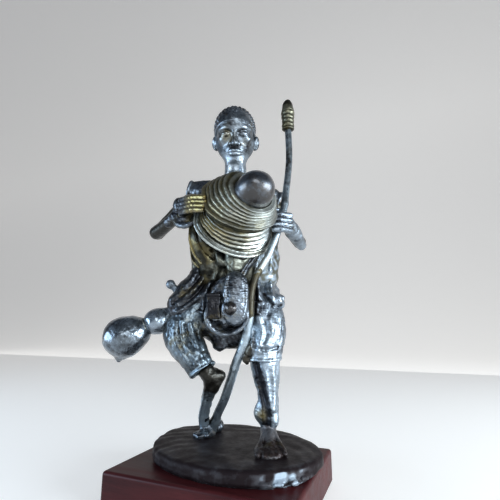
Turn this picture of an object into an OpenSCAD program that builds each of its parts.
// Cast bronze herdsman statuette on a wooden plinth.
// Origin: centre of the resting face. +Z up, -Y is the front of the plinth. Millimetres.

/* [Plinth] */
// Width of the wooden block, left to right
plinth_w = 80; // [74:0.5:100]
// Depth of the wooden block, front to back
plinth_d = 63; // [60:0.5:80]
// Height of the wooden block
plinth_h = 13; // [11:0.5:20]
// Radius of the softened edges of the block
plinth_edge_r = 1.4; // [0.8:0.1:2.5]
// Thickness of the felt under the block
felt_t = 1; // [0.8:0.1:2]
// How far the felt stays inside the block's edge
felt_inset = 2; // [1:0.5:4]

/* [Base plate] */
// Long diameter of the oval bronze plate
base_len = 79; // [76:0.5:84]
// Short diameter of the oval bronze plate
base_wid = 61; // [58:0.5:64]
// Thickness of the bronze plate
base_t = 6.5; // [5.5:0.5:9]
// Turn of the oval's long axis on the block, degrees
base_turn = -10; // [-14:1:0]
// Depth of the hand-cut wave in the plate's outline
base_wave = 0.7; // [0.2:0.1:1]

/* [Figure] */
// Turn of the whole figure on its plate, degrees
figure_turn = 22; // [10:1:30]
// Forward bow of the head, degrees
head_bow = 25; // [10:1:30]
// Width of the head without its ears
head_w = 20.6; // [18:0.2:22]
// Diameter of the tenons under the feet
tenon_d = 3; // [2.4:0.2:3.6]
// Length of the tenons under the feet
tenon_len = 4; // [3:0.5:4.5]

/* [Hat] */
// Radius of the hat at its lower edge
hat_r = 19.2; // [18:0.2:21]
// Height of the hat from its lower edge to the middle of its crown
hat_h = 27; // [24:0.5:29]
// Radius of the smooth crown
crown_r = 6.8; // [6:0.2:8]
// Lean of the hat's axis from the vertical, degrees
hat_lean = 71; // [60:1:80]
// Direction in which the hat's axis leans, degrees
hat_aim = -65; // [-80:1:-50]
// Number of coils on each of the hat's two tiers
coils = 5; // [4:1:7]
// Thickness of the hat's wall between the coils
hat_wall = 1.2; // [0.9:0.1:1.6]

/* [Staff] */
// Diameter of the staff
staff_d = 3; // [2.6:0.1:3.4]
// Diameter of the ribbed finial
finial_d = 6.6; // [5.5:0.1:7.5]
// Length of the ribbed finial
finial_len = 18; // [15:0.5:20]

/* [Gourd bottle] */
// Radius of the large lobe
gourd_r = 9.6; // [8.5:0.1:10.5]
// Radius of the small lobe
gourd_neck_r = 6.2; // [5.5:0.1:6.8]

/* [Fixings] */
// Diameter of the screws that hold the bronze to the block
screw_d = 3; // [2.5:0.5:4]
// Distance between the two screws
screw_pitch = 40; // [34:1:46]
// Diameter of the screw heads
screw_head_d = 5.6; // [5:0.2:7]

/* [Hidden] */

block_top = felt_t + plinth_h;
ground = block_top + base_t;
base_at = [2, 2.5];
bronze = [0.33, 0.28, 0.22];
worn = [0.55, 0.46, 0.30];
mahogany = [0.36, 0.14, 0.09];
counterbore_d = screw_head_d + 1.6;
counterbore_h = 4;
washer_t = 0.6;
screw_bite = 4.5;
far = 200;

// The figure's own frame: x to its left, y to its back, z up from the plate's top.
neck_base = [3, 2.5, 116];
neck_top = [3, 0.5, 134];
head_at = [3, -2, 146];
hat_at = [2.6, -11, 95.6];
staff_tip = [-8.5, 14.5, 0];
staff_path = [[-8.5, 14.5, 1.5], [-5, 9.5, 9.5], [-1.5, 4, 17], [1.7, -1, 26], [4.5, -5.5, 34.5],
    [8, -9.5, 43], [10.2, -12.5, 54], [10.8, -13, 63], [13, -13, 71.5], [19.5, -12, 83], [25.5, -9.5, 100],
    [28, -6, 115], [30, -3.5, 132], [30, -2, 149]];
finial_at = [30, -2, 148];
right_ankle = [-11.2, 11, 6.5];
left_ankle = [18, -4, 8];
gourd_at = [-47.3, -2, 45.2];
gourd_neck_at = [-32.8, -2, 52];
gourd_tie_at = [-37.9, -2, 49.7];
pouch_at = [0.5, -13, 55.5];
clasp_at = [2.3, -17.6, 57.7];

// ---------- helpers ----------

// A round-ended lump, squashed by s along the three axes.
module lump(at, r, s = [1, 1, 1], fn = 18) {
    translate(at) hull() scale(s) sphere(r = r, $fn = fn);
}

// A limb through the points at, with radius r at each.
module limb(at, r, fn = 16) {
    for (i = [0 : len(at) - 2])
        hull() {
            lump(at[i], r[i], fn = fn);
            lump(at[i + 1], r[i + 1], fn = fn);
        }
}

// Puts a cylinder-like child along the line from a to b, starting at a.
module along(a, b) {
    d = b - a;
    translate(a)
        rotate([0, acos(d.z / norm(d)), atan2(d.y, d.x)])
            children();
}

// Places the figure's own frame on the base plate.
module on_plate() {
    translate([0, 0, ground]) rotate([0, 0, figure_turn]) children();
}

module at_screws() {
    for (side = [-1, 1]) translate([side * screw_pitch / 2, 2, 0]) children();
}

module on_hat() {
    translate(hat_at) rotate([0, hat_lean, hat_aim]) children();
}

// ---------- wooden block ----------

module rounded_plate(w, d, h, r) {
    translate([-w / 2 + r, -d / 2, 0]) cube([w - 2 * r, d, h]);
    translate([-w / 2, -d / 2 + r, 0]) cube([w, d - 2 * r, h]);
    for (x = [-1, 1], y = [-1, 1])
        translate([x * (w / 2 - r), y * (d / 2 - r), 0]) cylinder(r = r, h = h, $fn = 48);
}

module felt_pad() {
    color([0.12, 0.16, 0.12])
        rounded_plate(plinth_w - 2 * felt_inset, plinth_d - 2 * felt_inset, felt_t, 2);
}

module softened_block(w, d, h, r) {
    rounded_plate(w, d, h - r, r);
    translate([-w / 2 + r, -d / 2 + r, 0]) cube([w - 2 * r, d - 2 * r, h]);
    for (side = [-1, 1]) {
        translate([-w / 2 + r, side * (d / 2 - r), h - r]) rotate([0, 90, 0])
            cylinder(r = r, h = w - 2 * r, $fn = 48);
        translate([side * (w / 2 - r), d / 2 - r, h - r]) rotate([90, 0, 0])
            cylinder(r = r, h = d - 2 * r, $fn = 48);
        for (end = [-1, 1])
            translate([side * (w / 2 - r), end * (d / 2 - r), h - r]) sphere(r = r, $fn = 48);
    }
}

module plinth() {
    color(mahogany) difference() {
        translate([0, 0, felt_t]) softened_block(plinth_w, plinth_d, plinth_h, plinth_edge_r);
        at_screws() {
            translate([0, 0, felt_t - 1]) cylinder(d = counterbore_d, h = counterbore_h + 1, $fn = 48);
            cylinder(d = screw_d + 0.4, h = far, $fn = 48);
        }
    }
}

module plinth_screws() {
    seat = felt_t + counterbore_h - washer_t;
    head_h = 2;
    color("silver") at_screws() difference() {
        union() {
            translate([0, 0, seat - head_h]) cylinder(d = screw_head_d, h = head_h, $fn = 48);
            translate([0, 0, seat - 0.5])
                cylinder(d = screw_d, h = block_top + screw_bite - seat + 0.5, $fn = 48);
        }
        for (turn = [0, 90])
            rotate([0, 0, turn]) translate([-1.4, -0.35, seat - head_h - 1]) cube([2.8, 0.7, 2]);
    }
}

module screw_washers() {
    color("silver") at_screws() translate([0, 0, felt_t + counterbore_h - washer_t]) difference() {
        cylinder(d = screw_head_d + 1, h = washer_t, $fn = 48);
        translate([0, 0, -1]) cylinder(d = screw_d + 0.3, h = washer_t + 2, $fn = 48);
    }
}

// ---------- base plate ----------

// The oval's outline, waved by hand and drawn in by inset.
function base_point(a, inset) =
    let (wave = base_wave * (0.6 * sin(3 * a + 40) + 0.4 * sin(5 * a)))
    [(base_len / 2 - inset + wave) * cos(a), (base_wid / 2 - inset + wave) * sin(a)];

module base_layer(z, h, inset) {
    translate([0, 0, z]) linear_extrude(height = h)
        polygon([for (a = [0 : 5 : 355]) base_point(a, inset)]);
}

module base_plate() {
    color(bronze) difference() {
        translate([base_at.x, base_at.y, block_top]) rotate([0, 0, base_turn]) {
            base_layer(0, 1.6, 1.6);
            base_layer(1.2, base_t - 2.4, 0.2);
            base_layer(base_t - 1.5, 1.5, 1.4);
        }
        at_screws() cylinder(d = screw_d, h = block_top + screw_bite + 0.5, $fn = 48);
        on_plate() {
            for (foot = [right_ankle, left_ankle])
                translate([foot.x, foot.y, -tenon_len]) cylinder(d = tenon_d, h = far, $fn = 48);
            translate([staff_tip.x, staff_tip.y, -2]) cylinder(d = staff_d, h = far, $fn = 48);
        }
    }
}

// ---------- legs ----------

// A bare foot: heel, instep and five toes, along +X from the heel at the origin.
module foot_form(length, spread) {
    hull() {
        lump([1, 0, 2.2], 2.2);
        lump([length - 5, 0, 1.6], 1.6, [1, spread * 0.7, 1]);
    }
    hull() {
        lump([2.5, 0, 4.5], 2.3);
        lump([length - 5.5, 0, 1.9], 1.5);
    }
    for (toe = [-2 : 2])
        hull() {
            lump([length - 5, toe * 1.15, 1.1], 1.05, fn = 14);
            lump([length - 1.2 - abs(toe + 1) * 0.5, toe * 1.15 * spread * 0.8, 0.95], 0.9, fn = 14);
        }
}

module right_foot_form() {
    translate([-4.5, 19.5, 0]) rotate([0, 0, -123]) foot_form(17, 1.5);
}

module left_foot_form() {
    translate([17.6, 0, 0]) rotate([0, 0, -88]) foot_form(20.5, 2.1);
}

module tenon(foot) {
    translate([foot.x, foot.y, -tenon_len + 0.3]) cylinder(d = tenon_d, h = tenon_len + 1, $fn = 48);
}

module right_shin_form() {
    limb([[-8.5, -8.5, 31], [-6, -6.5, 27], [-8.8, 1, 18], [-10.5, 7, 11], right_ankle - [0, 0, 1.5]],
        [4, 4.4, 3, 2.5, 2.6]);
}

module left_calf_form() {
    limb([[17, -3, 38], [16.8, -3.6, 30], [17.2, -4, 22], [17.4, -4, 14], left_ankle,
        left_ankle - [0, 0, 2.5]],
        [6.8, 6.5, 4.6, 5.4, 2.9, 2.9]);
}

module above_ground() {
    intersection() {
        children();
        translate([-far / 2, -far / 2, 0]) cube(far);
    }
}

module right_foot() {
    color(bronze) on_plate() {
        above_ground() difference() {
            right_foot_form();
            right_shin_form();
            staff_form();
        }
        tenon(right_ankle);
    }
}

module left_foot() {
    color(bronze) on_plate() {
        above_ground() difference() {
            left_foot_form();
            left_calf_form();
        }
        tenon(left_ankle);
    }
}

module right_shin() {
    color(bronze) on_plate() difference() {
        right_shin_form();
        right_trouser_form();
        staff_form();
    }
}

module left_calf() {
    color(bronze) on_plate() difference() {
        left_calf_form();
        left_trouser_form();
    }
}

// ---------- clothes ----------

module right_trouser_form() {
    limb([[-15, 0, 58], [-20.5, -3, 47], [-16.5, -6, 39], [-11, -8.5, 32.5]], [10, 9.3, 7.8, 6.4]);
}

module left_trouser_form() {
    limb([[15, 0.5, 57], [17.5, -1.5, 49], [16.5, -3, 42], [16.2, -3.5, 36.5]], [10.2, 9.6, 8.8, 8]);
}

module hip_form() {
    hull() {
        lump([-10, 2, 62], 12.5, [1.05, 0.95, 1]);
        lump([12.5, 2, 62], 13, [1.05, 0.95, 1]);
    }
    hull() {
        lump([-16, 1, 54], 10, [1.2, 1, 0.9]);
        lump([14, 1, 54], 11, [1.1, 1, 0.9]);
    }
    hull() {
        lump([-8, 0.5, 52], 8);
        lump([9, 0.5, 50], 8);
        lump([2.5, 0, 45.5], 6, [1.2, 0.9, 1]);
    }
}

module tunic_form() {
    hull() {
        lump([-11, 3, 114], 7, [1.1, 1.1, 1]);
        lump([17, 3, 114], 7, [1.1, 1.1, 1]);
        lump([3, 3, 118], 7);
    }
    hull() {
        lump([-9.5, 2.5, 106], 9.5, [1, 0.95, 1.3]);
        lump([15.5, 2.5, 106], 9.5, [1, 0.95, 1.3]);
    }
    hull() {
        lump([-9.5, 2.5, 96], 9.5, [1, 0.95, 1.2]);
        lump([15.5, 2.5, 96], 9.5, [1, 0.95, 1.2]);
        lump([-10, 1.5, 78], 10, [1.05, 1, 1.2]);
        lump([15, 1.5, 78], 10.2, [1.05, 1, 1.2]);
    }
}

module hip_wrap() {
    color(bronze) on_plate() difference() {
        hip_form();
        tunic_form();
        staff_form();
        strap_form();
    }
}

module right_trouser_leg() {
    color(bronze) on_plate() difference() {
        right_trouser_form();
        hip_form();
        gourd_neck_form();
        staff_form();
    }
}

module left_trouser_leg() {
    color(bronze) on_plate() difference() {
        left_trouser_form();
        hip_form();
        staff_form();
    }
}

module tunic() {
    color(bronze) on_plate() difference() {
        tunic_form();
        hat_envelope();
        neck_form();
        staff_form();
    }
}

module right_sleeve_form() {
    limb([[-12, 3, 116], [-19, 3.5, 117.5]], [7, 5]);
}

module left_sleeve_form() {
    limb([[18, 3, 115], [23.5, 4, 112.5]], [6.8, 4.8]);
}

module right_sleeve() {
    color(bronze) on_plate() difference() {
        right_sleeve_form();
        tunic_form();
        right_upper_arm_form();
        hat_envelope();
    }
}

module left_sleeve() {
    color(bronze) on_plate() difference() {
        left_sleeve_form();
        tunic_form();
        left_upper_arm_form();
        hat_envelope();
        staff_form();
    }
}

// ---------- head ----------

module in_head() {
    translate(head_at) rotate([head_bow, 0, 0]) children();
}

module neck_form() {
    limb([neck_base, neck_top], [5.8, 5.4]);
}

// A plain egg-shaped head with brow, nose, chin and ears.
module head_form() {
    half_w = head_w / 2;
    lump([0, 1, 2.5], 11.6, [half_w / 11.6, 1.04, 1], fn = 30);
    hull() {
        lump([0, -1, -1], half_w - 0.6, [1, 1, 0.8], fn = 24);
        lump([0, -5.2, -9.8], 4.6, [1.1, 1, 0.9], fn = 20);
    }
    hull() {
        lump([0, -11, 1], 0.9, fn = 14);
        lump([0, -12.2, -4.2], 1.5, [1.1, 0.8, 0.8], fn = 14);
    }
    for (side = [-1, 1]) lump([side * (half_w - 0.6), 1.5, -4.5], 3.1, [0.78, 0.65, 1.1], fn = 16);
}

module hair_form() {
    lump([0, 1, 2.6], 12.3, [head_w / 2 / 11.6, 1.04, 1], fn = 30);
}

module head() {
    color(bronze) on_plate() {
        in_head() head_form();
        neck_form();
    }
}

module hair_cap() {
    color(bronze) on_plate() difference() {
        in_head() intersection() {
            hair_form();
            translate([-far / 2, -9.3, 1]) rotate([-34, 0, 0]) translate([0, 0, 3.5]) cube(far);
        }
        in_head() head_form();
    }
}

// ---------- arms ----------

module right_upper_arm_form() {
    limb([[-16, 3.5, 117], [-27, 8, 108.5], [-37, 9, 97]], [3.8, 3.4, 3.4]);
}

module left_upper_arm_form() {
    limb([[21, 4, 113], [28, 8, 103], [35.5, 7, 91.5]], [3.8, 3.4, 3.2]);
}

module right_forearm_form() {
    limb([[-37.5, 7.5, 96], [-25.5, -5.8, 100.3]], [3.7, 3]);
}

module left_forearm_form() {
    limb([[36.2, 6, 90], [31, -2.5, 95]], [2.7, 3.9]);
}

// Four fingers of radius r, stacked downwards by pitch, from the knuckles to the tips.
module fingers(knuckle, tip, r, pitch) {
    for (finger = [0 : 3])
        hull() {
            lump(knuckle - [0, 0, finger * pitch], r * 1.1, fn = 14);
            lump(tip - [-0.5 * abs(finger - 1), 0, finger * pitch], r * 0.9, fn = 14);
        }
}

// The right hand grips the hat's edge: fingers over it, thumb under it, a gap between them.
module right_hand_form() {
    hull() {
        lump([-24.8, -7.5, 101], 2.7);
        lump([-22.8, -9.5, 106], 3.2, [0.9, 0.9, 1.2]);
    }
    fingers([-21.8, -12, 108.6], [-10.5, -18.2, 107.6], 1.25, 1.95);
    limb([[-24.5, -8.5, 99], [-22.5, -11, 96], [-18, -13, 95.4], [-14, -14, 97]], [1.7, 1.5, 1.4, 1.1], fn = 14);
}

// The left hand closes round the staff and holds the hat's edge.
module left_hand_form() {
    hull() {
        lump([30, -5, 96], 3.6);
        lump([28, -7.5, 97], 3.8, [0.9, 0.9, 1.2]);
    }
    fingers([28.2, -11.2, 100.2], [21, -13.2, 99.4], 1.3, 2.1);
}

module right_upper_arm() {
    color(bronze) on_plate() difference() {
        right_upper_arm_form();
        tunic_form();
        right_forearm_form();
    }
}

module left_upper_arm() {
    color(bronze) on_plate() difference() {
        left_upper_arm_form();
        tunic_form();
        left_forearm_form();
        staff_form();
    }
}

module right_forearm() {
    color(bronze) on_plate() right_forearm_form();
}

module left_forearm() {
    color(bronze) on_plate() left_forearm_form();
}

module right_hand() {
    color(worn) on_plate() difference() {
        right_hand_form();
        right_forearm_form();
        hat_envelope();
    }
}

module left_hand() {
    color(bronze) on_plate() difference() {
        left_hand_form();
        left_forearm_form();
        hat_envelope();
        staff_form();
    }
}

// ---------- hat ----------

// Radius of the hat's outside at height z above its lower edge.
function hat_radius(z) = crown_r + (hat_r - crown_r) * pow(1 - z / hat_h, 1.15);

// One tier of coiled straw from height low to height high, grown by out.
module coiled_tier(low, high, out) {
    step = (high - low) / coils;
    color(worn) on_plate() on_hat() rotate_extrude($fn = 72) difference() {
        union() {
            polygon([[hat_radius(low) - hat_wall + out, low], [hat_radius(low) + out, low],
                [hat_radius(high) + out, high], [hat_radius(high) - hat_wall + out, high]]);
            for (i = [0 : coils - 1]) {
                z = low + (i + 0.5) * step;
                translate([hat_radius(z) + out, z]) circle(r = step * 0.42, $fn = 24);
            }
        }
        translate([0, low - 20]) square([far, 20]);
        translate([0, high]) square([far, 20]);
    }
}

tier_join = hat_h * 0.48;
crown_base = hat_h - 2.5;

module hat_upper_tier() {
    coiled_tier(tier_join, crown_base, 1);
}

module hat_lower_tier() {
    coiled_tier(2, tier_join, 0);
}

module hat_edge() {
    color(bronze) on_plate() on_hat() rotate_extrude($fn = 72)
        polygon([[hat_r - 1.6, 0], [hat_r + 0.8, 0], [hat_r + 1.2, 1], [hat_radius(2), 2],
            [hat_radius(2) - hat_wall, 2]]);
}

module hat_crown() {
    color(bronze) on_plate() on_hat() translate([0, 0, crown_base]) rotate_extrude($fn = 72) difference() {
        translate([0, 2]) scale([1, 1.15]) circle(r = crown_r + 0.6, $fn = 72);
        translate([-far, -far / 2]) square([far, far]);
        translate([-far / 2, -far]) square([far, far]);
    }
}

// The solid cone that the hat fills, which other pieces are cut back to.
module hat_envelope() {
    on_hat() {
        translate([0, 0, -0.01]) cylinder(r1 = hat_r + 1.6, r2 = crown_r + 2.2, h = crown_base, $fn = 48);
    }
}

// ---------- staff ----------

module staff_form() {
    limb(staff_path, [for (p = staff_path) staff_d / 2], fn = 14);
}

module staff() {
    color(bronze) on_plate() {
        difference() {
            staff_form();
            finial_form();
        }
        translate([staff_tip.x, staff_tip.y, -1.8]) cylinder(d = staff_d - 0.4, h = 2.5, $fn = 24);
    }
}

module finial_form() {
    ribs = 5;
    rib_h = finial_len * 0.62 / ribs;
    translate(finial_at) rotate_extrude($fn = 48) difference() {
        union() {
            for (i = [0 : ribs - 1])
                translate([0, (i + 0.5) * rib_h])
                    scale([finial_d / 2 - (i == 0 ? 0.6 : 0), rib_h * 0.62]) circle(r = 1, $fn = 32);
            translate([0, ribs * rib_h - 0.4])
                polygon([[0, 0], [finial_d / 2 - 0.3, 0], [finial_d / 2 - 0.8, 2.6], [1.5, 5.2],
                    [0, finial_len * 0.38 + 0.4]]);
        }
        translate([-far, -far / 2]) square([far, far]);
    }
}

module staff_finial() {
    color(bronze) on_plate() finial_form();
}

// ---------- pouch ----------

module pouch_form() {
    hull() {
        for (spot = [[0, 0, 0, 9.4], [1.8, 0, 8.5, 8.6]])
            translate(pouch_at + [spot[0], 0, spot[2]]) rotate([90, 0, 0]) {
                translate([0, 0, -5]) cylinder(r = spot[3], h = 6.5, $fn = 32);
                cylinder(r = spot[3] - 1.6, h = 3, $fn = 32);
            }
    }
}

module flap_form() {
    hull() {
        translate(pouch_at + [2.4, -2.9, 3]) rotate([90, 0, 0]) cylinder(r = 6.6, h = 1.3, $fn = 32);
        translate(pouch_at + [2.8, -1.6, 13]) rotate([90, 0, 0]) cylinder(r = 6.2, h = 1.3, $fn = 32);
    }
}

module strap_form() {
    limb([[6, -10.4, 71], [10, -9.2, 78], [16, -8, 86]], [2, 1.7, 1.7], fn = 14);
}

module pouch_body() {
    color(bronze) on_plate() difference() {
        pouch_form();
        hip_form();
        tunic_form();
        staff_form();
    }
}

module pouch_flap() {
    color(bronze) on_plate() difference() {
        flap_form();
        pouch_form();
        strap_form();
        tunic_form();
        staff_form();
    }
}

module pouch_clasp() {
    color(worn) on_plate() difference() {
        translate(clasp_at) rotate([90, 0, 0]) scale([1, 1, 0.6]) sphere(r = 3.4, $fn = 32);
        flap_form();
        pouch_form();
    }
}

module pouch_strap() {
    color(bronze) on_plate() difference() {
        strap_form();
        pouch_form();
        tunic_form();
        staff_form();
        hat_envelope();
    }
}

// ---------- gourd bottle and dagger ----------

module gourd_neck_form() {
    lump(gourd_neck_at, gourd_neck_r, fn = 30);
}

module gourd_bowl_form() {
    hull() {
        lump(gourd_at, gourd_r, fn = 30);
        lump(gourd_at + [6.5, 0, 3], gourd_r * 0.62, fn = 30);
    }
    limb([gourd_at, gourd_at + [-1.8, 0, -9.6]], [3, 1.2]);
}

module gourd_bowl() {
    color(bronze) on_plate() difference() {
        gourd_bowl_form();
        gourd_neck_form();
        gourd_tie_form();
    }
}

module gourd_neck() {
    color(bronze) on_plate() difference() {
        gourd_neck_form();
        hip_form();
        gourd_tie_form();
    }
}

module gourd_tie_form() {
    along(gourd_tie_at, gourd_tie_at + [2, 0, 0.9])
        rotate_extrude($fn = 48) translate([3.4, 0]) circle(r = 0.9, $fn = 20);
}

module gourd_tie() {
    color(worn) on_plate() gourd_tie_form();
}

module dagger_hilt() {
    color(bronze) on_plate() difference() {
        limb([[-20, 0, 63.5], [-25.8, -1, 68.8]], [2, 1.8], fn = 20);
        hip_form();
        tunic_form();
    }
}

felt_pad();
plinth();
plinth_screws();
screw_washers();
base_plate();
right_foot();
left_foot();
right_shin();
left_calf();
right_trouser_leg();
left_trouser_leg();
hip_wrap();
tunic();
right_sleeve();
left_sleeve();
head();
hair_cap();
right_upper_arm();
left_upper_arm();
right_forearm();
left_forearm();
right_hand();
left_hand();
hat_crown();
hat_upper_tier();
hat_lower_tier();
hat_edge();
staff();
staff_finial();
pouch_body();
pouch_flap();
pouch_clasp();
pouch_strap();
gourd_bowl();
gourd_neck();
gourd_tie();
dagger_hilt();
